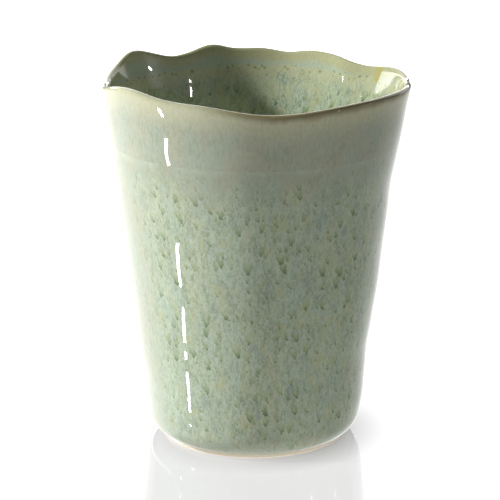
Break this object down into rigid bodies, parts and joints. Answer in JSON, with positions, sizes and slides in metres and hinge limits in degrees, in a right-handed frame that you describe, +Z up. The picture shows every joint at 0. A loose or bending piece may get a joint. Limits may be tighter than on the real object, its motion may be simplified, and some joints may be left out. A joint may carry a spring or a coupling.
{
  "type": "brush holder pot",
  "caption": "Tapered ceramic cup with a rounded heel, a wavy hand-altered lip and a running, spotted glaze, for standing brushes or pens in.",
  "frame": {"origin": "centre of the foot ring's resting face, where the pot's axis meets the table", "axes": "+Z up the pot's axis, out of its mouth; -Y is the side with the lip's widest low dip"},
  "size_m": [0.1063, 0.1089, 0.1304],
  "materials": {
    "bare_clay": "matte",
    "spotted_glaze": "gloss",
    "inner_spotted_glaze": "gloss",
    "rim_glaze": "gloss",
    "recess_glaze": "gloss"
  },
  "bodies": {
    "root": {"clay_body": "bare_clay", "outer_glaze": "spotted_glaze", "inner_glaze": "inner_spotted_glaze", "rim_glaze": "rim_glaze", "foot_recess_glaze": "recess_glaze"}
  },
  "joints": []
}
